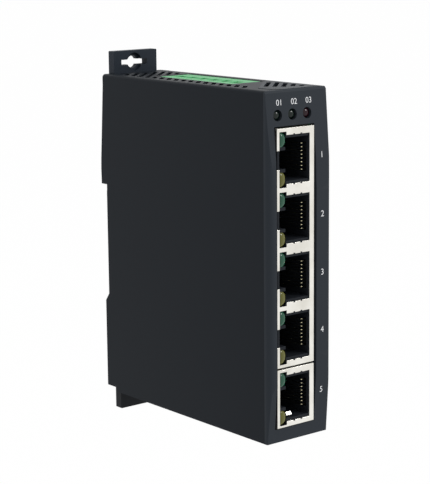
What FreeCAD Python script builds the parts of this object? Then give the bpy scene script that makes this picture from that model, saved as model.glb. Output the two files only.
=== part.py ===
import FreeCAD, Part
import os
import re
import Sketcher
from FreeCAD import Placement, Rotation, Vector

# A slim five-port ethernet switch that hooks onto a 35 mm DIN rail.
# The document's origin is the middle of the rail seat. Each piece is drawn with x from its middle,
# y back from the front face and z up from the bottom, and its Placement moves it to the rail seat.

dimensions = {
    # housing
    "width": 22, "height": 97.8, "wall": 1.6, "seat_depth": 75.4, "rail_middle": 46.9,
    "seam_depth": 2.4, "cover_depth": 72, "back_inside": 73, "channel_front": 74.45,
    "hook_bottom": 64.5, "hook_back": 78, "foot_top": 30.6, "foot_back": 77.1, "top_back": 76.4,
    "rail_lip": 1.15,
    # front face: it leans back towards the top and the bottom
    "top_lean": 1.7, "bottom_lean": 1.25, "lean_from": 78.5, "lean_to": 18,
    "edge_round": 2, "top_round": 1,
    # vent slots, cut on a slant
    "vent_pitch": 3.4, "vent_width": 1.3, "vent_left": -8.7, "vent_right": 7.7, "vent_first": 21.77,
    "panel_rise": 0.1, "panel_slant": 16.1,
    # opening for the terminal plug
    "well_left": -3.8, "well_right": 8.4, "well_front": 24.2, "well_back": 58.6, "well_floor": 88,
    "well_wall": 1,
    # mounting lug and rail latch
    "plate_half": 8, "plate_gap": 0.1, "plate_thick": 2.7, "tongue_wide": 0.8, "tongue_thick": 0.95,
    "lug_top": 104.5, "lug_hole": 101, "hole_x": -0.4, "foot_drop": 6.5,
    "screw_recess": 2.8, "screw_hole": 1.85, "driver_slot": 9.6, "driver_slot_high": 1.6,
    "stop_bottom": 8, "stop_high": 2, "window_half": 2.2, "window_top": 20,
    # sockets
    "socket_left": -8, "board_left": 5.4, "board_thick": 1.6, "socket_front": 0.3, "socket_length": 18,
    "shield": 0.35, "port_pitch": 16.4, "first_port": 79.05, "last_port": 12.45,
    "gang_bottom": 21.4, "gang_top": 87.6, "single_bottom": 4.3, "single_top": 20.9,
    "window_left": -7.1, "window_step": -4.6, "window_right": 3.8, "window_high": 6.65,
    "lamp_high": 7.6, "plug_high": 5.9, "catch_high": 2.55, "contact_pitch": 1.02, "contact_thick": 0.4,
    # status lamps
    "lamp_row": 91.05, "lamp_pitch": 5.3, "lamp_middle": -1.62, "lamp_radius": 1.45,
    # terminal block
    "pole_pitch": 5.08, "terminal_front": 24.6, "terminal_back": 58.2, "terminal_middle": 41.4,
    "plug_left": -3.3, "plug_right": 7.7, "plug_top": 97.7, "plug_bottom": 87.2,
    "header_left": -4.2, "header_bottom": 75, "header_top": 87, "pole_x": 1.6,
}

doc = FreeCAD.newDocument("din_rail_switch")
sheet = doc.addObject("Spreadsheet::Sheet", "dim")
for row, (alias, value) in enumerate(dimensions.items(), start=1):
    sheet.set(f"A{row}", alias)
    sheet.set(f"B{row}", str(value))
    sheet.setAlias(f"B{row}", alias)
doc.recompute()

pieces = []


def formula(text):
    """Put the sheet's name in front of each dimension that the text names."""
    def full(word):
        return "dim." + word[0] if word[0] in dimensions else word[0]

    return re.sub(r"[a-z_]+", full, str(text))


def bind(item, prop, text):
    item.setExpression(prop, formula(text))


def finish(item, name):
    """Name a finished piece and move it from the front bottom edge to the rail seat."""
    item.Label = name
    bind(item, "Placement.Base.y", "-seat_depth")
    bind(item, "Placement.Base.z", "-rail_middle")
    pieces.append(item)
    return item


# Solids from primitives

def box(name, x, y, z):
    """A block between two bounds on each axis."""
    item = doc.addObject("Part::Box", name)
    for axis, side, (low, high) in zip("xyz", ("Length", "Width", "Height"), (x, y, z)):
        bind(item, side, f"({high}) - ({low})")
        bind(item, f"Placement.Base.{axis}", low)
    return item


turns = {"x": Rotation(Vector(0, 1, 0), 90), "y": Rotation(Vector(1, 0, 0), -90), "z": Rotation()}


def rod(name, axis, start, length, radius):
    """A cylinder that runs along an axis from its start point."""
    item = doc.addObject("Part::Cylinder", name)
    item.Placement = Placement(Vector(), turns[axis])
    bind(item, "Radius", radius)
    bind(item, "Height", length)
    for letter, value in zip("xyz", start):
        bind(item, f"Placement.Base.{letter}", value)
    return item


def fuse(name, *parts):
    item = doc.addObject("Part::MultiFuse", name)
    item.Shapes = list(parts)
    return item


def group(name, *parts):
    """Like pieces that stay separate solids under one name."""
    item = doc.addObject("Part::Compound", name)
    item.Links = list(parts)
    return item


def cut(name, base, *tools):
    item = doc.addObject("Part::Cut", name)
    item.Base = base
    item.Tool = tools[0] if len(tools) == 1 else fuse(name + "_tools", *tools)
    return item


def rounded(name, base, radii):
    """Round each edge for which radii(edge) gives a radius at its start and one at its end."""
    doc.recompute()
    item = doc.addObject("Part::Fillet", name)
    item.Base = base
    item.Edges = [(number, *radii(edge)) for number, edge in enumerate(base.Shape.Edges, start=1)
                  if radii(edge)]
    return item


def common(name, *parts):
    item = doc.addObject("Part::MultiCommon", name)
    item.Shapes = list(parts)
    return item


# Solids from sketches

def outline(body, name, role, offset, *loops):
    """A sketch of closed straight-sided loops, each corner held by two distances from the origin."""
    sketch = body.newObject("Sketcher::SketchObject", name)
    plane = next(item for item in body.Origin.OriginFeatures if item.Role == role)
    sketch.AttachmentSupport = (plane, [""])
    sketch.MapMode = "FlatFace"
    bind(sketch, "AttachmentOffset.Base.z", offset)
    for corners in loops:
        first = sketch.GeometryCount
        count = len(corners)
        start = [Rotation(Vector(0, 0, 1), 360 / count * turn).multVec(Vector(10, 0, 0))
                 for turn in range(count)]
        for turn in range(count):
            sketch.addGeometry(Part.LineSegment(start[turn], start[(turn + 1) % count]), False)
        for turn in range(count):
            following = first + (turn + 1) % count
            sketch.addConstraint(Sketcher.Constraint("Coincident", first + turn, 2, following, 1))
        for turn, corner in enumerate(corners):
            for kind, place, value in zip(("DistanceX", "DistanceY"), start[turn], corner):
                number = sketch.addConstraint(
                    Sketcher.Constraint(kind, -1, 1, first + turn, 1, place))
                bind(sketch, f"Constraints[{number}]", value)
    return sketch


def rectangle(x, y):
    return [(x[0], y[0]), (x[1], y[0]), (x[1], y[1]), (x[0], y[1])]


def feature(body, kind, name, sketch, length, reverse=False):
    """A pad or a pocket. A pad grows along its plane's normal and a pocket cuts against it."""
    item = body.newObject(f"PartDesign::{kind}", name)
    item.Profile = sketch
    item.Reversed = reverse
    bind(item, "Length", length)
    sketch.Visibility = False
    return item


# Vent slots

def vent(name, offset, left, right, bottom, top):
    """A slot on the slant line y = x + offset, between two x bounds."""
    item = box(name, (0, f"({right} - ({left})) * sqrt(2)"), (0, "vent_width"), (bottom, top))
    item.Placement = Placement(Vector(), Rotation(Vector(0, 0, 1), 45))
    bind(item, "Placement.Base.x", f"{left} + vent_width / sqrt(8)")
    bind(item, "Placement.Base.y", f"{left} + {offset} - vent_width / sqrt(8)")
    bind(item, "Placement.Base.z", bottom)
    return item


def housing_vents():
    """Short slots beside the terminal well, long ones behind it, and full ones in the floor."""
    slots = []
    for turn in range(14):
        offset = f"(vent_first + vent_pitch * {turn})"
        slots.append(vent(f"vent_side_{turn}", offset, "vent_left", "(vent_left + 3.9)",
                          "height - wall - 1", "height + 1"))
    for turn in range(10, 17):
        offset = f"(vent_first + vent_pitch * {turn})"
        left = f"max(vent_left; well_back + 1.6 - {offset})"
        right = f"min(vent_right; channel_front - 3.5 - {offset})"
        slots.append(vent(f"vent_back_{turn}", offset, left, right, "height - wall - 1", "height + 1"))
    for turn in range(13):
        offset = f"(vent_first - 2 + vent_pitch * {turn})"
        slots.append(vent(f"vent_floor_{turn}", offset, "vent_left + 1", "vent_right - 1", "-1",
                          "wall + 1"))
    return fuse("housing_vents", *slots)


# Housing

board_posts = [(66, 10), (66, 76), (26, 12)]


def make_housing_body():
    """Left wall, top, floor and back in one moulding, with the rail seat and the latch channel."""
    body = doc.addObject("PartDesign::Body", "housing_shell")
    profile = outline(body, "housing_profile", "YZ_Plane", "-width / 2", [
        ("seam_depth", "0"), ("cover_depth - 0.4", "0"), ("cover_depth + 0.4", "1.3"),
        ("foot_back", "1.3"), ("foot_back", "foot_top - 2.3"), ("seat_depth", "foot_top"),
        ("seat_depth", "hook_bottom - 1.9"), ("seat_depth - 0.1", "hook_bottom - 1.9"),
        ("seat_depth - 0.1", "hook_bottom"), ("hook_back", "hook_bottom"), ("hook_back + 0.1", "69"),
        ("hook_back", "72"), ("top_back + 0.9", "81.5"), ("top_back", "94.5"), ("top_back", "height"),
        ("seam_depth", "height")])
    feature(body, "Pad", "housing_block", profile, "width")
    seat = outline(body, "cover_seat", "YZ_Plane", "width / 2",
                   rectangle(("0", "cover_depth"), ("-1", "height + 1")))
    feature(body, "Pocket", "cover_rebate", seat, "wall")
    inside = outline(body, "inside_profile", "YZ_Plane", "width / 2 - wall",
                     rectangle(("0", "back_inside"), ("wall", "height - wall")))
    feature(body, "Pocket", "inside", inside, "width - wall * 2")
    well = outline(body, "well_outline", "XY_Plane", "well_floor", rectangle(
        ("well_left - well_wall", "width / 2 - wall"), ("well_front - well_wall", "well_back + well_wall")))
    feature(body, "Pad", "well_block", well, "height - wall - well_floor")
    hole = outline(body, "well_opening", "XY_Plane", "height", rectangle(
        ("well_left", "well_right"), ("well_front", "well_back")))
    feature(body, "Pocket", "well", hole, "height - well_floor + 1")
    panel = outline(body, "panel_opening", "XY_Plane", "height", panel_corners("0.12"))
    feature(body, "Pocket", "panel_gap", panel, "wall + 0.1")
    lug = outline(body, "lug_channel_outline", "XY_Plane", "height", rectangle(
        ("-plate_half - plate_gap", "plate_half + plate_gap"), ("channel_front", "hook_back + 2")))
    feature(body, "Pocket", "lug_channel", lug, "height - hook_bottom - 2")
    foot = outline(body, "foot_channel_outline", "XY_Plane", "0", rectangle(
        ("-plate_half - plate_gap", "plate_half + plate_gap"), ("channel_front", "hook_back + 2")))
    feature(body, "Pocket", "foot_channel", foot, "foot_top", reverse=True)
    for side, x in (("left", ("-plate_half - plate_gap - tongue_wide", "-plate_half")),
                    ("right", ("plate_half", "plate_half + plate_gap + tongue_wide"))):
        y = ("channel_front", "channel_front + tongue_thick + plate_gap")
        upper = outline(body, f"lug_groove_{side}", "XY_Plane", "height", rectangle(x, y))
        feature(body, "Pocket", f"lug_guide_{side}", upper, "height - hook_bottom - 2")
        lower = outline(body, f"foot_groove_{side}", "XY_Plane", "0", rectangle(x, y))
        feature(body, "Pocket", f"foot_guide_{side}", lower, "foot_top - 4", reverse=True)
    hook = outline(body, "hook_profile", "YZ_Plane", "-plate_half", [
        ("seat_depth + rail_lip", "hook_bottom + 1"), ("seat_depth + rail_lip", "hook_bottom - 1"),
        ("seat_depth + rail_lip + 0.5", "hook_bottom - 1.8"), ("hook_back", "hook_bottom - 1.8"),
        ("hook_back", "hook_bottom + 1")])
    feature(body, "Pad", "rail_hook", hook, "plate_half * 2")
    stop = outline(body, "stop_outline", "YZ_Plane", "-1.5", rectangle(
        ("channel_front - 1", "channel_front + plate_thick - 0.3"),
        ("stop_bottom", "stop_bottom + stop_high")))
    feature(body, "Pad", "latch_stop", stop, "3")
    doc.recompute()
    left = "wall / 2 - width / 2"
    posts = [rod(f"post_{turn}", "x", (left, y, z), f"board_left - ({left})", 2.5)
             for turn, (y, z) in enumerate(board_posts)]
    pilots = [rod(f"pilot_{turn}", "x", ("board_left - 8", y, z), 9, 0.9)
              for turn, (y, z) in enumerate(board_posts)]
    top_edge = rounded("housing_rounded", body, is_top_left)
    shell = fuse("housing_with_posts", top_edge, *posts)
    finish(cut("housing_body_shape", shell, housing_vents(), *pilots), "housing_body")


def is_top_left(edge):
    """The long top edge on the left, which has a soft round."""
    span = edge.BoundBox
    at_edge = span.YLength > 20 and span.XMax < 0.01 - dimensions["width"] / 2
    at_top = span.ZMin > dimensions["height"] - 0.01
    return (dimensions["top_round"], dimensions["top_round"]) if at_edge and at_top else None


def panel_corners(gap):
    """Plan of the vent panel: a slanted back edge and a cut-off front corner, grown by a gap."""
    return [
        (f"vent_left + 2 - {gap}", f"vent_left + 2 + panel_slant + {gap} * 0.4"),
        (f"vent_left + 2 - {gap}", "5.2"), (f"-3.9 - {gap}", "seam_depth"),
        ("width / 2 - wall", "seam_depth"), ("width / 2 - wall", f"well_front - well_wall + {gap}"),
        (f"well_front - well_wall - panel_slant", f"well_front - well_wall + {gap}")]


def make_side_cover():
    """The right wall, a flat plate with four snap blocks that grip the top and the floor."""
    plate = box("cover_plate", ("width / 2 - wall", "width / 2"), ("seam_depth", "cover_depth"),
                (0, "height"))
    blocks = []
    for turn, (front, bottom) in enumerate(((16, "wall + 0.1"), (50, "wall + 0.1"),
                                           (63, "height - wall - 1.3"))):
        blocks.append(box(f"snap_{turn}", ("width / 2 - wall - 1.2", "width / 2 - wall / 2"),
                          (front, front + 7), (bottom, f"{bottom} + 1.2")))
    finish(fuse("side_cover_shape", plate, *blocks), "side_cover")


def make_front_bezel():
    """The front face and the vent panel, one moulding that plugs into the housing's open front."""
    body = doc.addObject("PartDesign::Body", "bezel_shell")
    profile = outline(body, "bezel_profile", "YZ_Plane", "-width / 2", [
        ("top_lean + 0.35", "height - 0.15"), ("top_lean", "height - 0.7"),
        ("top_lean * 0.15", "lean_from"), ("0", "lean_from - 9"),
        ("0", "lean_to + 6"), ("bottom_lean * 0.08", "lean_to - 1"), ("bottom_lean", "0"),
        ("seam_depth", "0"), ("seam_depth", "height")])
    feature(body, "Pad", "bezel_face", profile, "width")
    skirt = outline(
        body, "skirt_outline", "XZ_Plane", "-seam_depth",
        rectangle(("wall - width / 2 + 0.1", "width / 2 - wall - 0.1"),
                  ("wall + 0.1", "height - wall - 0.1")),
        rectangle(("wall - width / 2 + 1", "width / 2 - wall - 1"), ("wall + 1", "height - wall - 1")))
    feature(body, "Pad", "skirt", skirt, "2.6", reverse=True)
    panel = outline(body, "panel_outline", "XY_Plane", "height - wall", panel_corners("0"))
    feature(body, "Pad", "vent_panel", panel, "wall + panel_rise")
    ports = outline(body, "port_outline", "XZ_Plane", "0", rectangle(
        ("socket_left - 0.35", "socket_left + 14.1"), ("single_bottom - 0.4", "gang_top + 0.45")))
    feature(body, "Pocket", "port_opening", ports, "seam_depth + 1")
    blank = box("bezel_blank", ("-width / 2", "width / 2"), (0, "height"), ("-1", "height + panel_rise"))

    def corner(edge):
        span = edge.BoundBox
        if span.ZLength > 1 and span.YMin < 0.01:
            radius = dimensions["edge_round"] if span.XMin < 0 else 0.4
        elif span.YLength > 1 and span.XMin < 0 and span.ZMin > 1:
            radius = dimensions["top_round"]
        else:
            return None
        return radius, radius

    face = common("bezel_rounded", body, rounded("bezel_corners", blank, corner))
    lamps = [rod(f"lamp_hole_{turn}", "y", (f"lamp_middle + lamp_pitch * {turn - 1}", -1, "lamp_row"),
                 "seam_depth + 2", "lamp_radius + 0.1") for turn in range(3)]
    starts = (("-3", "6.2"), ("-1.3", "vent_right"), ("0.4", "vent_right"), ("3.5", "vent_right"),
              ("5.6", "vent_right"))
    slots = [vent(f"vent_panel_{turn}", f"(vent_first - 8.1 - vent_pitch * {turn})", left, right,
                  "height - wall - 1", "height + 1") for turn, (left, right) in enumerate(starts)]
    finish(cut("front_bezel_shape", face, *lamps, *slots), "front_bezel")


# Mounting plates

def make_plate(name, z, tongue_z, free_end):
    """A plate with two guide tongues and soft corners at its free end."""
    y = ("channel_front + plate_gap / 2", "channel_front + plate_gap / 2 + plate_thick")
    plate = box(name + "_plate", ("-plate_half", "plate_half"), y, z)

    def corner(edge):
        at_end = edge.BoundBox.YLength > 1 and abs(edge.BoundBox.ZMin - free_end) < 0.01
        return (0.3, 0.3) if at_end else None

    tongues = [box(f"{name}_tongue_{side}", x, (y[0], f"{y[0]} + tongue_thick"), tongue_z)
               for side, x in (("left", ("-plate_half - tongue_wide", "0")),
                               ("right", ("0", "plate_half + tongue_wide")))]
    return fuse(name + "_body", rounded(name + "_rounded", plate, corner), *tongues)


def make_wall_lug():
    """The fixed upper plate, whose screw hole has a recess round it and a driver slot across it."""
    body = make_plate("lug", ("hook_bottom + 2.2", "lug_top"), ("hook_bottom + 2.2", "height - 1"),
                      dimensions["lug_top"])
    start = ("hole_x", "channel_front - 1", "lug_hole")
    recess = rod("lug_recess", "y", start, 2.2, "screw_recess")
    hole = rod("lug_screw_space", "y", start, 6, "screw_hole")
    slot = box("driver_slot_space", ("hole_x - driver_slot / 2", "hole_x + driver_slot / 2"),
               ("channel_front - 1", "hook_back + 1"),
               ("lug_hole - driver_slot_high / 2", "lug_hole + driver_slot_high / 2"))
    finish(cut("wall_lug_shape", body, recess, hole, slot), "wall_lug")


def make_rail_latch():
    """The sprung foot: its tooth grips the rail's lower lip and its window holds the spring."""
    rail_bottom = "(rail_middle - 17.5)"
    body = make_plate("latch", ("-foot_drop", f"{rail_bottom} - 0.1"), ("0.4", "foot_top - 5"),
                      -dimensions["foot_drop"])
    pull_hole = rod("pull_hole", "y", ("0.6", "channel_front - 1", "-foot_drop / 2"), 6, "screw_hole")
    window = box("latch_window", ("-window_half", "window_half"), ("channel_front - 1", "hook_back + 2"),
                 ("stop_bottom - 0.1", "window_top"))
    tooth = doc.addObject("PartDesign::Body", "latch_tooth")
    profile = outline(tooth, "tooth_profile", "YZ_Plane", "-plate_half", [
        ("seat_depth + rail_lip", f"{rail_bottom} - 3"),
        ("channel_front + plate_gap / 2 + plate_thick", f"{rail_bottom} - 4.2"),
        ("hook_back + 0.3", f"{rail_bottom} - 2.6"), ("hook_back + 0.3", f"{rail_bottom} - 0.6"),
        ("seat_depth + rail_lip + 0.35", f"{rail_bottom} + 1.15"),
        ("seat_depth + rail_lip", f"{rail_bottom} + 1.15")])
    feature(tooth, "Pad", "tooth", profile, "plate_half * 2")
    finish(cut("rail_latch_shape", fuse("latch_with_tooth", body, tooth), window, pull_hole), "rail_latch")


def make_latch_spring():
    """A small coil between the housing's stop and the upper edge of the latch's window."""
    helix = doc.addObject("Part::Helix", "spring_path")
    bind(helix, "Height", "window_top - stop_bottom - stop_high - 0.5")
    bind(helix, "Pitch", "(window_top - stop_bottom - stop_high - 0.5) / 5")
    helix.Radius = 1.08
    wire = doc.addObject("Part::RegularPolygon", "spring_wire")
    wire.Polygon = 6
    wire.Circumradius = 0.2
    wire.Placement = Placement(Vector(1.08, 0, 0), Rotation(Vector(1, 0, 0), 90))
    coil = doc.addObject("Part::Sweep", "spring_coil")
    coil.Sections = [wire]
    coil.Spine = (helix, ["Edge1"])
    coil.Solid = True
    coil.Frenet = True
    bind(coil, "Placement.Base.y", "channel_front + plate_thick / 2 + plate_gap / 2")
    bind(coil, "Placement.Base.z", "stop_bottom + stop_high + 0.25")
    finish(group("latch_spring_shape", coil), "latch_spring")


# Circuit board

def make_main_board():
    """The board stands on edge beside the sockets and is cut away under the terminal well."""
    body = doc.addObject("PartDesign::Body", "board_blank")
    profile = outline(body, "board_profile", "YZ_Plane", "board_left", [
        ("seam_depth + 0.2", "wall + 2"), ("back_inside - 2", "wall + 2"),
        ("back_inside - 2", "header_top - 0.5"), ("17", "header_top - 0.5"), ("17", "height - 3"),
        ("seam_depth + 0.2", "height - 3")])
    feature(body, "Pad", "board_plate", profile, "board_thick")
    holes = [rod(f"board_hole_{turn}", "x", ("board_left - 1", y, z), 4, 1.1)
             for turn, (y, z) in enumerate(board_posts)]
    finish(cut("main_board_shape", body, *holes), "main_board")
    screws = []
    for turn, (y, z) in enumerate(board_posts):
        head = rod(f"board_screw_head_{turn}", "x", ("board_left + board_thick", y, z), 1.2, 1.9)
        shank = rod(f"board_screw_shank_{turn}", "x", ("board_left - 6", y, z), "board_thick + 7", 0.85)
        slit = box(f"board_screw_slot_{turn}", ("board_left + board_thick + 0.6", "board_left + 4"),
                   (y - 2, y + 2), (z - 0.25, z + 0.25))
        screws.append(cut(f"board_screw_{turn}", fuse(f"board_screw_body_{turn}", head, shank), slit))
    finish(group("board_screws_shape", *screws), "board_screws")


def make_board_parts():
    """The larger components, all on the board's left face and clear of the posts."""
    right = "board_left"
    parts = {
        "switch_chip": [box("chip_block", ("board_left - 1.4", right), (36, 50), (36, 50))],
        "transformers": [box(f"transformer_{turn}", ("board_left - 3.5", right), (20.5, 29.5),
                             (20 + 18 * turn, 33 + 18 * turn)) for turn in range(3)],
        "alarm_relay": [box("relay_block", ("board_left - 10", right), (40, 60), (62, 72))],
        "power_inductor": [box("inductor_block", ("board_left - 4.5", right), (34, 44), (18, 28))],
        "capacitors": [rod(f"capacitor_{turn}", "x", ("board_left - 11", 55, 13 + 13 * turn), 11, 5)
                       for turn in range(2)],
        "crystal": [box("crystal_block", ("board_left - 3.5", right), (37, 48), (53.5, 58))]}
    for name, solids in parts.items():
        finish(group(name + "_shape", *solids), name)


# Sockets

socket_names = ["port_1", "port_2", "port_3", "port_4", "port_5"]


def socket_levels(names):
    """Each named socket with the height of its middle."""
    return [(name, f"(first_port - port_pitch * {number})" if number < 4 else "last_port")
            for number, name in enumerate(socket_names) if name in names]


def make_socket(name, bottom, top, ports):
    """A shield of folded sheet round a moulded insert, with one plug cavity a port."""
    left, right = "socket_left", "board_left"
    front, back = "socket_front", "(socket_front + socket_length)"
    shell = cut(name + "_shell", box(name + "_outside", (left, right), (front, back), (bottom, top)),
                box(name + "_hollow", (f"{left} + shield", f"{right} - shield"),
                    (f"{front} + shield", f"{back} - shield"), (f"{bottom} + shield", f"{top} - shield")))
    windows, spaces = [], []
    for port, level in socket_levels(ports):
        depth = (f"{front} - 1", f"{front} + 1")
        windows += [
            box(port + "_window", ("window_left", "window_right"), depth,
                (f"{level} - window_high", f"{level} + window_high")),
            box(port + "_lamp_window", ("window_left", "window_step"), depth,
                (f"{level} - lamp_high", f"{level} + lamp_high"))]
        if port != "port_5":
            windows.append(box(port + "_notch", (f"{left} - 1", "window_left + 1"), depth,
                               (f"{level} - catch_high", f"{level} + catch_high")))
        spaces += [
            box(port + "_cavity", ("window_step - 0.1", "window_right - 0.2"),
                (f"{front} - 1", f"{front} + 13.9"), (f"{level} - plug_high", f"{level} + plug_high")),
            box(port + "_catch", ("window_left + 0.2", "window_step"), (f"{front} - 1", f"{front} + 9"),
                (f"{level} - catch_high", f"{level} + catch_high")),
            box(port + "_comb", ("window_right - 0.4", "board_left - 0.9"),
                (f"{front} + 1.2", f"{front} + 13.9"),
                (f"{level} - contact_pitch * 4", f"{level} + contact_pitch * 4"))]
        for side in (-1, 1):
            spaces.append(box(f"{port}_lamp_space_{side + 1}", ("window_left + 0.05", "window_step - 0.05"),
                              (f"{front} - 1", f"{front} + 5.2"),
                              (f"{level} + 5.5 * {side} - 2.05", f"{level} + 5.5 * {side} + 2.05")))
    finish(cut(name + "_shield_shape", shell, *windows), name + "_shield")
    block = box(name + "_block", (f"{left} + shield + 0.05", f"{right} - shield - 0.05"),
                (f"{front} + shield + 0.05", f"{back} - shield - 0.05"),
                (f"{bottom} + shield + 0.05", f"{top} - shield - 0.05"))
    finish(cut(name + "_insert_shape", block, *spaces), name + "_insert")


def make_contacts(port, level):
    """Eight sprung wires that slant from the right wall of the cavity towards its back."""
    wires = []
    for turn in range(8):
        z = f"({level} + contact_pitch * ({turn} - 3.5) - contact_thick / 2)"
        spring = box(f"{port}_spring_{turn}", (0, "contact_thick"), (0, 9.6),
                     (z, f"{z} + contact_thick"))
        spring.Placement = Placement(Vector(), Rotation(Vector(0, 0, 1), 16))
        bind(spring, "Placement.Base.x", "window_right - 0.75")
        bind(spring, "Placement.Base.y", "socket_front + 1.9")
        bind(spring, "Placement.Base.z", z)
        root = box(f"{port}_root_{turn}", ("window_right - 0.7", "board_left - 0.9"),
                   ("socket_front + 1.7", "socket_front + 1.7 + contact_thick"), (z, f"{z} + contact_thick"))
        wires.append(fuse(f"{port}_wire_{turn}", spring, root))
    finish(group(port + "_contacts_shape", *wires), port + "_contacts")


def make_socket_led(port, level, name, side):
    """A half-round lens with a domed face."""
    middle = f"({level} + 5.5 * {side})"
    lens = common(
        f"{port}_{name}_shape",
        box(f"{port}_{name}_body", ("window_left + 0.1", "window_step - 0.1"),
            ("socket_front", "socket_front + 5"), (f"{middle} - 2", f"{middle} + 2")),
        rod(f"{port}_{name}_round", "y", ("window_left + 0.35", "socket_front - 1", middle), 8, 2.02),
        ball(f"{port}_{name}_dome", ("window_left + 1", "socket_front + 5.2", middle), 5.05))
    finish(lens, f"{port}_{name}")


def ball(name, centre, radius):
    item = doc.addObject("Part::Sphere", name)
    bind(item, "Radius", radius)
    for letter, value in zip("xyz", centre):
        bind(item, f"Placement.Base.{letter}", value)
    return item


def make_status_lamps():
    """Three round lamps in one holder on the board, each behind a hole in the bezel."""
    spaces = []
    for turn, name in enumerate(("power_1_led", "power_2_led", "alarm_led")):
        x = f"(lamp_middle + lamp_pitch * {turn - 1})"
        spaces.append(rod(f"{name}_space", "y", (x, "seam_depth", "lamp_row"), 10, "lamp_radius + 0.03"))
        dome = ball(name + "_dome", (x, "top_lean + lamp_radius * 3", "lamp_row"), "lamp_radius * 3")
        barrel = rod(name + "_body", "y", (x, 0, "lamp_row"), "top_lean + lamp_radius * 3.5", "lamp_radius")
        finish(common(name + "_shape", dome, barrel), name)
    block = box("holder_block", ("socket_left - 0.2", "board_left"), ("seam_depth + 1", "seam_depth + 6.4"),
                ("lamp_row - 2.2", "lamp_row + 2.5"))
    finish(cut("led_holder_shape", block, *spaces), "led_holder")


# Terminal block

def make_terminals():
    """A six-pole header on the board and the plug that pushes into it through the well."""
    front, back = "terminal_front", "terminal_back"
    poles = [f"(terminal_middle + pole_pitch * {turn - 2.5})" for turn in range(6)]

    def pins(name):
        made = []
        for turn, y in enumerate(poles):
            sides = (f"{y} - 0.5", f"{y} + 0.5")
            post = box(f"{name}_post_{turn}", ("pole_x - 2", "pole_x - 1"), sides,
                       ("header_bottom + 1", "header_bottom + 10"))
            tail = box(f"{name}_tail_{turn}", ("pole_x - 1.5", "board_left"), sides,
                       ("header_bottom + 1", "header_bottom + 2"))
            made.append(fuse(f"{name}_{turn}", post, tail))
        return group(name, *made)

    shell = box("header_block", ("header_left", "board_left"), (front, back),
                ("header_bottom", "header_top"))
    hollow = box("header_hollow", ("header_left + 1", "board_left - 1"),
                 (f"{front} + 0.8", f"{back} - 0.8"), ("header_bottom + 2", "header_top + 1"))
    finish(cut("terminal_header_shape", shell, hollow, pins("header_pin_space")), "terminal_header")
    finish(group("header_pins_shape", pins("header_pin")), "header_pins")

    body = box("plug_block", ("plug_left", "plug_right"), (front, back), ("plug_bottom", "plug_top"))
    nose = box("plug_nose", ("header_left + 1.1", "board_left - 1.1"), (f"{front} + 0.9", f"{back} - 0.9"),
               ("header_bottom + 4", "plug_bottom + 1"))
    spaces, clamps, screws = [], [], []
    level = "(plug_bottom + 3.6)"
    for turn, y in enumerate(poles):
        spaces += [
            box(f"entry_{turn}", ("pole_x - 1.7", "pole_x + 1.7"), (f"{y} - 1.7", f"{y} + 1.7"),
                (level, "plug_top + 1")),
            box(f"chamber_{turn}", ("pole_x - 2.4", "pole_x + 2.4"), (f"{y} - 2", f"{y} + 2"),
                (f"{level} - 2.2", f"{level} + 2.2")),
            rod(f"screw_space_{turn}", "x", ("plug_left - 1", y, level), "pole_x - plug_left", 1.7),
            box(f"pin_space_{turn}", ("pole_x - 2.1", "pole_x - 0.9"), (f"{y} - 0.6", f"{y} + 0.6"),
                ("header_bottom + 3", "plug_bottom + 1.4"))]
        cage = box(f"cage_{turn}", ("pole_x - 2.3", "pole_x + 2.3"), (f"{y} - 1.95", f"{y} + 1.95"),
                   (f"{level} - 2.1", f"{level} + 2.1"))
        throat = box(f"throat_{turn}", ("pole_x - 1.3", "pole_x + 1.5"), (f"{y} - 1.3", f"{y} + 1.3"),
                     (f"{level} - 3", f"{level} + 3"))
        thread = rod(f"thread_{turn}", "x", ("pole_x - 3", y, level), 2, 1.05)
        clamps.append(cut(f"clamp_{turn}", cage, throat, thread))
        head = rod(f"clamp_screw_head_{turn}", "x", ("plug_left + 0.4", y, level), 1.3, 1.55)
        shank = rod(f"clamp_screw_shank_{turn}", "x", ("plug_left + 1", y, level),
                    "pole_x - plug_left - 1.6", 1)
        slit = box(f"clamp_screw_slot_{turn}", ("plug_left", "plug_left + 1"),
                   (f"{y} - 0.25", f"{y} + 0.25"), (f"{level} - 2", f"{level} + 2"))
        screws.append(cut(f"clamp_screw_{turn}", fuse(f"clamp_screw_body_{turn}", head, shank), slit))
    finish(cut("terminal_plug_shape", fuse("plug_body", body, nose), *spaces), "terminal_plug")
    finish(group("wire_clamps_shape", *clamps), "wire_clamps")
    finish(group("clamp_screws_shape", *screws), "clamp_screws")


# Build

make_housing_body()
make_side_cover()
make_front_bezel()
make_wall_lug()
make_rail_latch()
make_latch_spring()
make_main_board()
make_board_parts()
make_socket("gang", "gang_bottom", "gang_top", socket_names[:4])
make_socket("single", "single_bottom", "single_top", socket_names[4:])
for port_name, port_level in socket_levels(socket_names):
    make_contacts(port_name, port_level)
    make_socket_led(port_name, port_level, "link_led", 1)
    make_socket_led(port_name, port_level, "speed_led", -1)
make_status_lamps()
make_terminals()
doc.recompute()

for item in doc.Objects:
    if "Invalid" in item.State or "Error" in item.State:
        raise RuntimeError(f"{item.Label} did not build: {item.State}")
for piece in pieces:
    if piece.Shape.isNull() or not piece.Shape.isValid():
        raise RuntimeError(f"{piece.Label} has no valid shape")

os.makedirs("parts", exist_ok=True)
for piece in pieces:
    piece.Shape.exportStep(f"parts/{piece.Label}.step")
    print(piece.Label, len(piece.Shape.Solids), round(piece.Shape.Volume, 1))
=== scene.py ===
import math
import bmesh
import bpy
from mathutils import Matrix, Vector


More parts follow.
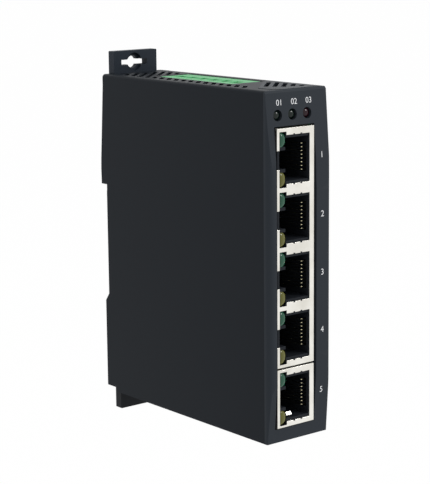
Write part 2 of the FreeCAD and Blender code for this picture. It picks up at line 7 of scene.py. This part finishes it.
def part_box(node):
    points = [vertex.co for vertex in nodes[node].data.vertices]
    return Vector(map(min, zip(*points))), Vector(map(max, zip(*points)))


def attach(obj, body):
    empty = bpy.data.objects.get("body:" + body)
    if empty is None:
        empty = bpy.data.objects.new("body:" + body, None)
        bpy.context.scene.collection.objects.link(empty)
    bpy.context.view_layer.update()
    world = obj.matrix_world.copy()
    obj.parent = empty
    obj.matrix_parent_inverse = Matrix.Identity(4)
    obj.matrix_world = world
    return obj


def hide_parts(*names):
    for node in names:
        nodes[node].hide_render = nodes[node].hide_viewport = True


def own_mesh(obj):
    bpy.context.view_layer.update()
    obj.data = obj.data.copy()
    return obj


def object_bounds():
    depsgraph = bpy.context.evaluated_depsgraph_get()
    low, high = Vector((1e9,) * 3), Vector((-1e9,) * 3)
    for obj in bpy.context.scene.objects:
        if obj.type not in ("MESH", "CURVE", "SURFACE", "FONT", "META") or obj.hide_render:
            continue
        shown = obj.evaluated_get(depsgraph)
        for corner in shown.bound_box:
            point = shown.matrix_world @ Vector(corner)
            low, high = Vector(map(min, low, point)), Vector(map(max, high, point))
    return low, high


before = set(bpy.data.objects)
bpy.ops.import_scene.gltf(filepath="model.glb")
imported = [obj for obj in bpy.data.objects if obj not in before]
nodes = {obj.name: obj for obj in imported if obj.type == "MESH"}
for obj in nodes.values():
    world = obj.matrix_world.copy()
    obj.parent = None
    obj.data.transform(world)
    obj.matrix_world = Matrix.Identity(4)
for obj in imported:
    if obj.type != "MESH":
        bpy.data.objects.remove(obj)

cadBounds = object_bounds()  # the CAD box
mm = 0.001
white = (1, 1, 1, 1)
leastRing = 0.02  # a dome's rings shrink to this share of its size, because none can shrink to a point


# Small tools.
def linear(hexColour):
    parts = [int(hexColour[i:i + 2], 16) / 255 for i in (1, 3, 5)]
    return [c / 12.92 if c <= 0.04045 else ((c + 0.055) / 1.055) ** 2.4 for c in parts] + [1]


def addNode(tree, kind, settings=None, links=None):  # settings are options or sockets, links sockets
    node = tree.nodes.new(kind)
    for name, value in (settings or {}).items():
        if hasattr(node, name):
            setattr(node, name, value)
        else:
            node.inputs[name].default_value = value
    for name, source in (links or {}).items():
        tree.links.new(source, node.inputs[name])
    return node


def newMaterial(name, colour, settings):
    material = bpy.data.materials.new(name)
    material.use_nodes = True
    shader = material.node_tree.nodes["Principled BSDF"]
    shader.inputs["Base Color"].default_value = linear(colour)
    for socket, value in settings.items():
        shader.inputs[socket].default_value = value
    return material


grain = {"detail": 2, "strength": 0.35}


def addGrain(material, grainSize, depth):  # a moulded or sprayed grain, its size and depth in mm
    tree = material.node_tree
    place = addNode(tree, "ShaderNodeTexCoord")
    noise = addNode(tree, "ShaderNodeTexNoise", {"Scale": 1 / (grainSize * mm), "Detail": grain["detail"]},
                    {"Vector": place.outputs["Object"]})
    bump = addNode(tree, "ShaderNodeBump", {"Strength": grain["strength"], "Distance": depth * mm},
                   {"Height": noise.outputs["Fac"]})
    tree.links.new(bump.outputs["Normal"], tree.nodes["Principled BSDF"].inputs["Normal"])


tint = {"detail": 3, "darkest": 0.35, "lightest": 0.65}


def addTint(material, spotSize, light, dark):  # slow, faint changes of colour, the spots' size in mm
    tree = material.node_tree
    place = addNode(tree, "ShaderNodeTexCoord")
    noise = addNode(tree, "ShaderNodeTexNoise", {"Scale": 1 / (spotSize * mm), "Detail": tint["detail"]},
                    {"Vector": place.outputs["Object"]})
    ramp = addNode(tree, "ShaderNodeValToRGB", {}, {"Fac": noise.outputs["Fac"]})
    stops = ((tint["darkest"], dark), (tint["lightest"], light))
    for stop, (position, colour) in zip(ramp.color_ramp.elements, stops):
        stop.position = position
        stop.color = linear(colour)
    tree.links.new(ramp.outputs["Color"], tree.nodes["Principled BSDF"].inputs["Base Color"])


# Angles are in degrees, the weld distance in mm and the area of a wide face in square mm.
edges = {"weld": 0.002, "segments": 2, "bevelAngle": 30, "creaseAngle": 35, "slightAngle": 0.5,
         "flatArea": 12, "faceWeight": 80}


def markCreases(mesh):  # wide flat faces stay flat where they meet at a slight angle
    spots = [tuple(round(c / mm, 2) for c in vertex.co) for vertex in mesh.vertices]
    areas = {}
    beside = {}  # the faces on each edge, matched by place because CAD faces share no vertices
    for face in mesh.polygons:
        face.use_smooth = True
        face.material_index = 0
        plane = (*(round(c, 3) for c in face.normal), round(face.normal.dot(face.center) / mm, 1))
        areas[plane] = areas.get(plane, 0) + face.area / mm ** 2
        for first, second in face.edge_keys:
            ends = frozenset((spots[first], spots[second]))
            beside.setdefault(ends, []).append((face.normal.copy(), plane))
    for edge in mesh.edges:
        sides = beside.get(frozenset(spots[index] for index in edge.vertices), [])
        if len(sides) == 2:
            angle = math.degrees(sides[0][0].angle(sides[1][0], 0))
            wide = all(areas[plane] > edges["flatArea"] for normal, plane in sides)
            edge.use_edge_sharp = angle > edges["creaseAngle"] or (angle > edges["slightAngle"] and wide)


def finishNode(name, material, bevel=0.0):  # dress a CAD node, its edges rounded by bevel in mm
    piece = nodes[name]
    piece.data.materials.clear()
    piece.data.materials.append(material)
    markCreases(piece.data)
    weld = piece.modifiers.new("weld", "WELD")
    weld.merge_threshold = edges["weld"] * mm
    if bevel:
        edge = piece.modifiers.new("edge", "BEVEL")
        edge.width = bevel * mm
        edge.segments = edges["segments"]
        edge.limit_method = "ANGLE"
        edge.angle_limit = math.radians(edges["bevelAngle"])
        edge.harden_normals = True
        edge.miter_outer = "MITER_ARC"
    normals = piece.modifiers.new("normals", "WEIGHTED_NORMAL")
    normals.keep_sharp = True
    normals.weight = edges["faceWeight"]


def addMesh(name, mesh, material, body, stands=()):  # stands are the CAD nodes it replaces
    piece = bpy.data.objects.new(name, mesh)
    bpy.context.scene.collection.objects.link(piece)
    mesh.materials.clear()
    mesh.materials.append(material)
    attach(piece, body)
    if stands:
        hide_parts(*stands)
    return piece


def ringMesh(name, rings):  # a closed skin over a list of rings of points
    mesh = bpy.data.meshes.new(name)
    count = len(rings[0])
    points = [p for ring in rings for p in ring]
    faces = []
    for r in range(len(rings) - 1):
        for i in range(count):
            j = (i + 1) % count
            faces.append((r * count + i, r * count + j, (r + 1) * count + j, (r + 1) * count + i))
    faces.append(tuple(reversed(range(count))))
    faces.append(tuple((len(rings) - 1) * count + i for i in range(count)))
    mesh.from_pydata(points, [], faces)
    mesh.validate()
    bm = bmesh.new()
    bm.from_mesh(mesh)
    bmesh.ops.recalc_face_normals(bm, faces=bm.faces)
    bm.to_mesh(mesh)
    bm.free()
    for face in mesh.polygons:
        face.use_smooth = True
    mesh.set_sharp_from_angle(angle=math.radians(edges["creaseAngle"]))
    return mesh


def blockMesh(name, blocks):  # plain blocks, each a middle, three sizes and a tilt about X in degrees
    mesh = bpy.data.meshes.new(name)
    bm = bmesh.new()
    for spot, size, tilt in blocks:
        place = Matrix.Translation(spot) @ Matrix.Rotation(math.radians(tilt), 4, "X")
        bmesh.ops.create_cube(bm, size=1, matrix=place @ Matrix.Diagonal((*size, 1)))
    bm.to_mesh(mesh)
    bm.free()
    return mesh


def curveMesh(name, curve):  # the mesh that a curve or a text makes
    holder = bpy.data.objects.new(name + "Curve", curve)
    bpy.context.scene.collection.objects.link(holder)
    bpy.context.view_layer.update()
    mesh = bpy.data.meshes.new_from_object(holder.evaluated_get(bpy.context.evaluated_depsgraph_get()))
    bpy.data.objects.remove(holder)
    mesh.name = name
    return mesh


wireCurve = {"sides": 3, "steps": 6}  # how finely a wire is rounded, across it and along it


def wireMesh(name, paths, radius):  # round wires along smooth paths, as one mesh
    curve = bpy.data.curves.new(name + "Path", "CURVE")
    curve.dimensions = "3D"
    curve.bevel_depth = radius
    curve.bevel_resolution = wireCurve["sides"]
    curve.resolution_u = wireCurve["steps"]
    curve.use_fill_caps = True
    for path in paths:
        spline = curve.splines.new("NURBS")
        spline.points.add(len(path) - 1)
        for point, place in zip(spline.points, path):
            point.co = (*place, 1)
        spline.order_u = 3
        spline.use_endpoint_u = True
    mesh = curveMesh(name, curve)
    for face in mesh.polygons:
        face.use_smooth = True
    return mesh


print("frame loaded:", len(nodes), "nodes")


# Materials. The real grains, 0.1 to 0.2 mm, are too fine to show, so they are drawn coarser.
# Powder coat on the case: a fine dry grain, so the sheen is broad and never mirror-like.
caseCoat = newMaterial("charcoalPowderCoat", "#161b21", {"Roughness": 0.48, "Specular IOR Level": 0.1})
addGrain(caseCoat, 0.45, 0.02)

# Moulded polycarbonate front: a paler charcoal than the case, painted light for the stronger light that
# falls on the front, with a shallower grain.
litBezelPlastic = newMaterial("charcoalPaintedLitFront", "#2a2f35",
                           {"Roughness": 0.48, "Specular IOR Level": 0.12})
addGrain(litBezelPlastic, 0.5, 0.015)

# Moulded nylon lug with a cold blue cast, and the latch in a blacker copy of that plastic: painted shade for
# the shadow the latch stands in.
lugPlastic = newMaterial("blackNylon", "#232a33", {"Roughness": 0.5, "Specular IOR Level": 0.14})
addGrain(lugPlastic, 0.4, 0.02)
shadedLatchPlastic = newMaterial("latchPaintedShade", "#191c20", {"Roughness": 0.5, "Specular IOR Level": 0.14})
addGrain(shadedLatchPlastic, 0.4, 0.02)

# Nickel-plated steel, rolled and stamped: a soft bright sheen with no clear mirror.
shieldMetal = newMaterial("nickelPlatedSteel", "#e9e7e0", {"Metallic": 1.0, "Roughness": 0.34})
addTint(shieldMetal, 6, "#efede6", "#e0ddd4")

# Black PBT socket insert: dull, and nearly lost in the shade of the cavity.
insertPlastic = newMaterial("blackPbt", "#1f2227", {"Roughness": 0.5, "Specular IOR Level": 0.1})

# Gold flash on phosphor bronze wires: small hard glints.
contactMetal = newMaterial("goldPlatedBronze", "#d8cfae", {"Metallic": 1.0, "Roughness": 0.14})

# Tinted epoxy lenses, unlit: deep colour under a clear glossy skin. The status lamps' are smoked.
lensSettings = {"Roughness": 0.5, "Specular IOR Level": 0.0, "Coat Weight": 0.95, "Coat Roughness": 0.04}
smokedSettings = {"Roughness": 0.5, "Specular IOR Level": 0.0, "Coat Weight": 0.6, "Coat Roughness": 0.08}
greenLens = newMaterial("greenEpoxy", "#0b4b34", lensSettings)
yellowLens = newMaterial("yellowEpoxy", "#585712", lensSettings)
darkGreenLens = newMaterial("smokedGreenEpoxy", "#06150f", smokedSettings)
darkRedLens = newMaterial("smokedRedEpoxy", "#22040f", smokedSettings)

# Bright green polyamide of terminal blocks, moulded with a satin skin.
terminalPlastic = newMaterial("greenPolyamide", "#35a45c", {"Roughness": 0.42, "Specular IOR Level": 0.45})
addGrain(terminalPlastic, 0.5, 0.01)

# Plated and drawn metals: dull tin, paler zinc, bright spring wire and a smooth can.
tinMetal = newMaterial("tinPlatedBrass", "#c9c8c2", {"Metallic": 1.0, "Roughness": 0.4})
screwMetal = newMaterial("zincPlatedSteel", "#bfc0bd", {"Metallic": 1.0, "Roughness": 0.35})
springMetal = newMaterial("springSteel", "#b9bab8", {"Metallic": 1.0, "Roughness": 0.25})
canMetal = newMaterial("drawnAluminium", "#c4c5c6", {"Metallic": 1.0, "Roughness": 0.3})

# The board's glossy lacquer, its dull black chips and its pale satin relay.
boardResist = newMaterial("greenSolderResist", "#1c5a3a", {"Roughness": 0.3, "Coat Weight": 0.4})
chipEpoxy = newMaterial("blackMouldingCompound", "#1a1a1c", {"Roughness": 0.6})
relayPlastic = newMaterial("whitePbtRelay", "#cfc8b4", {"Roughness": 0.45})

# Pad-printed ink, thin and matt.
printInk = newMaterial("whitePrintInk", "#e9eaec", {"Roughness": 0.6})

print("materials made")


# Case.
finishNode("housing_body", caseCoat, bevel=0.18)
finishNode("side_cover", caseCoat, bevel=0.18)
finishNode("front_bezel", litBezelPlastic, bevel=0.16)
finishNode("wall_lug", lugPlastic, bevel=0.2)
finishNode("rail_latch", shadedLatchPlastic, bevel=0.2)
print("case dressed")


# Print on the front, in mm. A font's size is its line height, and a figure takes "figureShare" of it.
ink = {"numberHeight": 1.7, "lampHeight": 1.6, "figureShare": 0.7, "thickness": 0.02, "stroke": -0.012,
       "portX": 8.3, "portLift": 0.2, "lampShift": 0.75, "lampTextZ": 47.5,
       "lampText": {"power_1_led": "01", "power_2_led": "02", "alarm_led": "03"}}
ports = ["port_%d" % n for n in range(1, 6)]


def faceSpot(x, z):  # where a line from the front meets the bezel, and the surface's slope there
    hit, place, normal, index = nodes["front_bezel"].ray_cast(Vector((x, -1, z)), Vector((0, 1, 0)))
    return place, normal


def portMiddle(port):  # the height of a socket's middle
    low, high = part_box(port + "_contacts")
    return (low[2] + high[2]) / 2


def addPrint(name, text, height, x, z):
    place, normal = faceSpot(x, z)
    curve = bpy.data.curves.new(name, "FONT")
    curve.body = text
    curve.align_x = "CENTER"
    curve.align_y = "CENTER"
    curve.size = height * mm / ink["figureShare"]
    curve.extrude = ink["thickness"] * mm
    curve.offset = ink["stroke"] * mm
    mesh = curveMesh(name, curve)
    up = Vector((0, 0, 1)) - normal * normal.z
    up.normalize()
    turn = Matrix((up.cross(normal), up, normal)).transposed().to_4x4()
    mesh.transform(Matrix.Translation(place) @ turn)
    addMesh(name, mesh, printInk, "case")


for number, port in enumerate(ports, 1):
    addPrint(port + "Number", str(number), ink["numberHeight"], ink["portX"] * mm,
             portMiddle(port) + ink["portLift"] * mm)
for name, text in ink["lampText"].items():
    low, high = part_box(name)
    addPrint(name + "Number", text, ink["lampHeight"], (low[0] + high[0]) / 2 + ink["lampShift"] * mm,
             ink["lampTextZ"] * mm)
print("numbers printed")


# Sockets.
finishNode("gang_shield", shieldMetal, bevel=0.08)
finishNode("single_shield", shieldMetal, bevel=0.08)
finishNode("gang_insert", insertPlastic, bevel=0.12)
finishNode("single_insert", insertPlastic, bevel=0.12)

# Each contact runs in from the right wall, turns at a tight knee and slopes back to the left.
wire = {"radius": 0.14, "count": 8, "pitch": 1.03, "lift": 0.12, "inset": 0.25, "knee": 2.15,
        "kneeRuns": (0.55, 0.2), "kneeDepth": 0.45, "slopeEnd": (1.2, 4.2), "tip": 0.2}


def contactPath(low, high, z):
    front = low[1] + wire["inset"] * mm
    knee = high[0] - wire["knee"] * mm
    farRun, nearRun = wire["kneeRuns"]
    endX, endY = wire["slopeEnd"]
    return [(high[0], front, z), (knee + farRun * mm, front, z), (knee + nearRun * mm, front, z),
            (knee, front + wire["kneeDepth"] * mm, z),
            (low[0] + endX * mm, high[1] - endY * mm, z),
            (low[0] + wire["tip"] * mm, high[1] - wire["tip"] * mm, z)]


wireHeights = [(n - (wire["count"] - 1) / 2) * wire["pitch"] + wire["lift"] for n in range(wire["count"])]
for port in ports:
    low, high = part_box(port + "_contacts")
    paths = [contactPath(low, high, portMiddle(port) + height * mm) for height in wireHeights]
    mesh = wireMesh(port + "Wires", paths, wire["radius"] * mm)
    addMesh(port + "Wires", mesh, contactMetal, "case", [port + "_contacts"])

# Small black nibs of the insert hold the shield at each window's upper and lower edge.
nib = {"places": (-1.85, 0.75), "width": 0.55, "height": 0.4, "depth": 0.4, "proud": 0.05,
       "windowHalf": 6.65, "outside": 0.08}
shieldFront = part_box("gang_shield")[0][1]
nibSize = (nib["width"] * mm, (nib["depth"] + nib["proud"] * 2) * mm, nib["height"] * mm)
nibReach = (nib["windowHalf"] + nib["outside"]) * mm
for port in ports:
    blocks = [((x * mm, shieldFront + nib["depth"] / 2 * mm, portMiddle(port) + side * nibReach), nibSize, 0)
              for x in nib["places"] for side in (-1, 1)]
    addMesh(port + "Nibs", blockMesh(port + "Nibs", blocks), insertPlastic, "case")

# The single socket has a sprung grounding tongue of its shield at the bottom of the cavity.
tongue = {"x": -2.2, "below": 5.2, "behind": 2.1, "size": (1.8, 0.95, 0.14), "tilt": 56}
tongueSpot = (tongue["x"] * mm, shieldFront + tongue["behind"] * mm,
              portMiddle("port_5") - tongue["below"] * mm)
tongueSize = [edge * mm for edge in tongue["size"]]
addMesh("groundTongue", blockMesh("groundTongue", [(tongueSpot, tongueSize, tongue["tilt"])]), shieldMetal,
        "case")

# Port lamps, in mm. Peak is the share of the width where the dome is highest.
lens = {"dome": 1.05, "rings": 8, "arcSteps": 20, "flat": 0.5, "proud": 0.28, "cap": 1.15, "capRise": 0.2,
        "capShift": 0.15, "capSide": 0.08, "peak": 0.42}


def addLens(node, material, side):  # a half-round lens whose cap swells towards the viewer
    low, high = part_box(node)
    halfHeight = (high[2] - low[2]) / 2
    middle = (low[2] + high[2]) / 2
    width = high[0] - low[0]
    flat = lens["flat"] * mm
    outline = []
    for i in range(lens["arcSteps"] + 1):  # from the bottom of the straight side round to its top
        angle = math.pi * (i / lens["arcSteps"] - 0.5)
        outline.append(((width - flat) * math.cos(angle) + flat, halfHeight * math.sin(angle)))
    outline.append((0, halfHeight))
    outline.append((0, -halfHeight))
    peak = width * lens["peak"]
    front = low[1] - lens["proud"] * mm
    capMiddle = middle - side * lens["capShift"] * mm
    grow = 1 + lens["capRise"] * mm / halfHeight
    widest = width + lens["capSide"] * mm
    rings = [[(low[0] + x, y, middle + z) for x, z in outline] for y in (high[1], front + lens["cap"] * mm)]
    for r in range(lens["rings"] + 1):
        turn = math.pi / 2 * r / lens["rings"]
        scale = max(math.cos(turn), leastRing)
        depth = front + lens["dome"] * mm * (1 - math.sin(turn))
        rings.append([(low[0] + peak + (min(x * grow, widest) - peak) * scale, depth,
                       capMiddle + z * grow * scale) for x, z in outline])
    addMesh(node + "Lens", ringMesh(node + "Lens", rings), material, "case", [node])


for port in ports:
    addLens(port + "_link_led", greenLens, 1)
    addLens(port + "_speed_led", yellowLens, -1)
print("sockets dressed")


# Status lamps, in mm. Each stands in its hole, so the face is found a little above it.
statusLamp = {"steps": 32, "rings": 10, "swell": 1.0, "sunk": 0.1, "above": 0.4,
              "looks": {"power_1_led": (darkGreenLens, "green_lens"),
                        "power_2_led": (darkGreenLens, "green_lens"),
                        "alarm_led": (darkRedLens, "red_lens")}}
circleAngles = [2 * math.pi * i / statusLamp["steps"] for i in range(statusLamp["steps"])]
for node, (material, slotName) in statusLamp["looks"].items():
    low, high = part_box(node)
    radius = (high[0] - low[0]) / 2
    x, z = (low[0] + high[0]) / 2, (low[2] + high[2]) / 2
    face = faceSpot(x, high[2] + statusLamp["above"] * mm)[0].y + statusLamp["sunk"] * mm
    domeRings = []
    for r in range(statusLamp["rings"] + 1):
        turn = math.pi / 2 * r / statusLamp["rings"]
        domeRings.append((radius * max(math.sin(turn), leastRing),
                          face + statusLamp["swell"] * mm * (1 - math.cos(turn))))
    rings = [[(x + size * math.cos(angle), depth, z + size * math.sin(angle)) for angle in circleAngles]
             for size, depth in domeRings + [(radius, high[1])]]
    addMesh(node + "Lens", ringMesh(node + "Lens", rings), material, "case", [node])
finishNode("led_holder", insertPlastic, bevel=0.1)
print("status lamps made")


# Terminal block.
finishNode("terminal_plug", terminalPlastic, bevel=0.2)
finishNode("terminal_header", terminalPlastic, bevel=0.15)
finishNode("header_pins", tinMetal)
finishNode("wire_clamps", tinMetal, bevel=0.08)
finishNode("clamp_screws", screwMetal, bevel=0.08)
print("terminal block dressed")


# Latch spring, in mm. Its lower end stays on the housing's stop while the latch slides.
coil = {"turns": 7, "wire": 0.2, "stepsPerTurn": 12, "travel": 3.5}
low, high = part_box("latch_spring")
length = high[2] - low[2]
centre = ((low[0] + high[0]) / 2, (low[1] + high[1]) / 2)
wireRadius = coil["wire"] * mm
coilRadius = (high[0] - low[0]) / 2 - wireRadius
coilSteps = coil["turns"] * coil["stepsPerTurn"]
path = []
for i in range(coilSteps + 1):
    angle = 2 * math.pi * i / coil["stepsPerTurn"]
    path.append((centre[0] + coilRadius * math.cos(angle), centre[1] + coilRadius * math.sin(angle),
                 low[2] + wireRadius + i / coilSteps * (length - 2 * wireRadius)))
springPiece = addMesh("springCoil", wireMesh("springCoil", [path], wireRadius), springMetal, "case",
                      ["latch_spring"])
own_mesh(springPiece)
print("spring wound")


# Inside.
finishNode("main_board", boardResist)
finishNode("board_screws", screwMetal, bevel=0.1)
finishNode("switch_chip", chipEpoxy, bevel=0.15)
finishNode("transformers", chipEpoxy, bevel=0.2)
finishNode("power_inductor", chipEpoxy, bevel=0.4)
finishNode("alarm_relay", relayPlastic, bevel=0.3)
finishNode("capacitors", canMetal, bevel=0.5)
finishNode("crystal", canMetal, bevel=0.4)
print("inside dressed")


# Floor and world. The drop is in mm and the floor's size in metres. What the camera sees, directly or in
# a reflection, is white, and the rest of the light comes at worldFill.
studio = {"floorDrop": 60, "floorSize": 30, "worldFill": 0.62, "floorGlow": 0.985}
(lowX, lowY, lowZ), (highX, highY, highZ) = cadBounds
half = studio["floorSize"] / 2
floorZ = lowZ - studio["floorDrop"] * mm
floorMesh = bpy.data.meshes.new("floor")
floorMesh.from_pydata([(-half, -half, floorZ), (half, -half, floorZ), (half, half, floorZ),
                       (-half, half, floorZ)], [], [(0, 1, 2, 3)])
floor = bpy.data.objects.new("floor", floorMesh)
bpy.context.scene.collection.objects.link(floor)


def addSeenRays(tree):  # the ray kinds, and 1 for what the camera sees directly or mirrored
    rays = addNode(tree, "ShaderNodeLightPath")
    seen = addNode(tree, "ShaderNodeMath", {"operation": "MAXIMUM"},
                   {0: rays.outputs["Is Camera Ray"], 1: rays.outputs["Is Glossy Ray"]})
    return rays, seen.outputs[0]


# Matt white paper. It glows only where it is seen, so that it is white and still takes the shadow.
floorPaint = newMaterial("whiteStudioFloor", "#f4f4f4", {"Roughness": 0.9, "Specular IOR Level": 0.0})
tree = floorPaint.node_tree
rays, seen = addSeenRays(tree)
glow = addNode(tree, "ShaderNodeEmission", {"Color": white, "Strength": 1.0})
share = addNode(tree, "ShaderNodeMath", {"operation": "MULTIPLY"}, {0: seen})
share.inputs[1].default_value = studio["floorGlow"]
mix = addNode(tree, "ShaderNodeMixShader", {},
              {0: share.outputs[0], 1: tree.nodes["Principled BSDF"].outputs[0], 2: glow.outputs[0]})
tree.links.new(mix.outputs[0], tree.nodes["Material Output"].inputs["Surface"])
floorMesh.materials.append(floorPaint)

world = bpy.data.worlds.new("studio")
bpy.context.scene.world = world
world.use_nodes = True
tree = world.node_tree
rays, seen = addSeenRays(tree)
clear = addNode(tree, "ShaderNodeMath", {"operation": "MAXIMUM"},
                {0: seen, 1: rays.outputs["Is Transmission Ray"]})
level = addNode(tree, "ShaderNodeMapRange", {"To Min": studio["worldFill"], "To Max": 1.0},
                {"Value": clear.outputs[0]})
background = tree.nodes["Background"]
background.inputs["Color"].default_value = white
tree.links.new(level.outputs["Result"], background.inputs["Strength"])

# Area lamps aimed at the part's middle, in watts and metres.
lamps = {"keyLamp": {"power": 4.0, "size": 0.26, "place": (0.6, -0.8, 0.52)},
         "topLamp": {"power": 2.2, "size": 0.6, "place": (-0.15, -0.1, 0.9)}}
middle = Vector(((lowX + highX) / 2, (lowY + highY) / 2, (lowZ + highZ) / 2))
for name, lamp in lamps.items():
    light = bpy.data.lights.new(name, "AREA")
    light.energy = lamp["power"]
    light.size = lamp["size"]
    item = bpy.data.objects.new(name, light)
    item.location = lamp["place"]
    item.rotation_euler = (middle - Vector(lamp["place"])).to_track_quat("-Z", "Y").to_euler()
    bpy.context.scene.collection.objects.link(item)

# Camera, in degrees and mm from the case's front lower left corner. The far end is in metres.
view = {"azimuth": -38.922, "elevation": 10.806, "roll": -0.575, "lens": 121.65, "sensor": 36,
        "across": 15.259, "up": -56.35, "away": 450.737, "farEnd": 20}
turnAngle, liftAngle, rollAngle = (math.radians(view[k]) for k in ("azimuth", "elevation", "roll"))
back = Vector((math.sin(turnAngle) * math.cos(liftAngle), -math.cos(turnAngle) * math.cos(liftAngle),
               math.sin(liftAngle)))
right = Vector((math.cos(turnAngle), math.sin(turnAngle), 0))
upward = back.cross(right)
rolledRight = right * math.cos(rollAngle) + upward * math.sin(rollAngle)
rolledUp = upward * math.cos(rollAngle) - right * math.sin(rollAngle)
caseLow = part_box("housing_body")[0]
frontCorner = Vector((caseLow[0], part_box("front_bezel")[0][1], caseLow[2]))
cameraSpot = frontCorner + (back * view["away"] - rolledRight * view["across"] - rolledUp * view["up"]) * mm
camera = bpy.data.objects.new("camera", bpy.data.cameras.new("camera"))
camera.data.lens = view["lens"]
camera.data.sensor_width = view["sensor"]
camera.data.clip_end = view["farEnd"]
camera.matrix_world = (Matrix.Translation(cameraSpot)
                       @ Matrix((rolledRight, rolledUp, back)).transposed().to_4x4())
bpy.context.scene.collection.objects.link(camera)
bpy.context.scene.camera = camera
bpy.context.scene.view_settings.view_transform = "Standard"
print("studio ready")
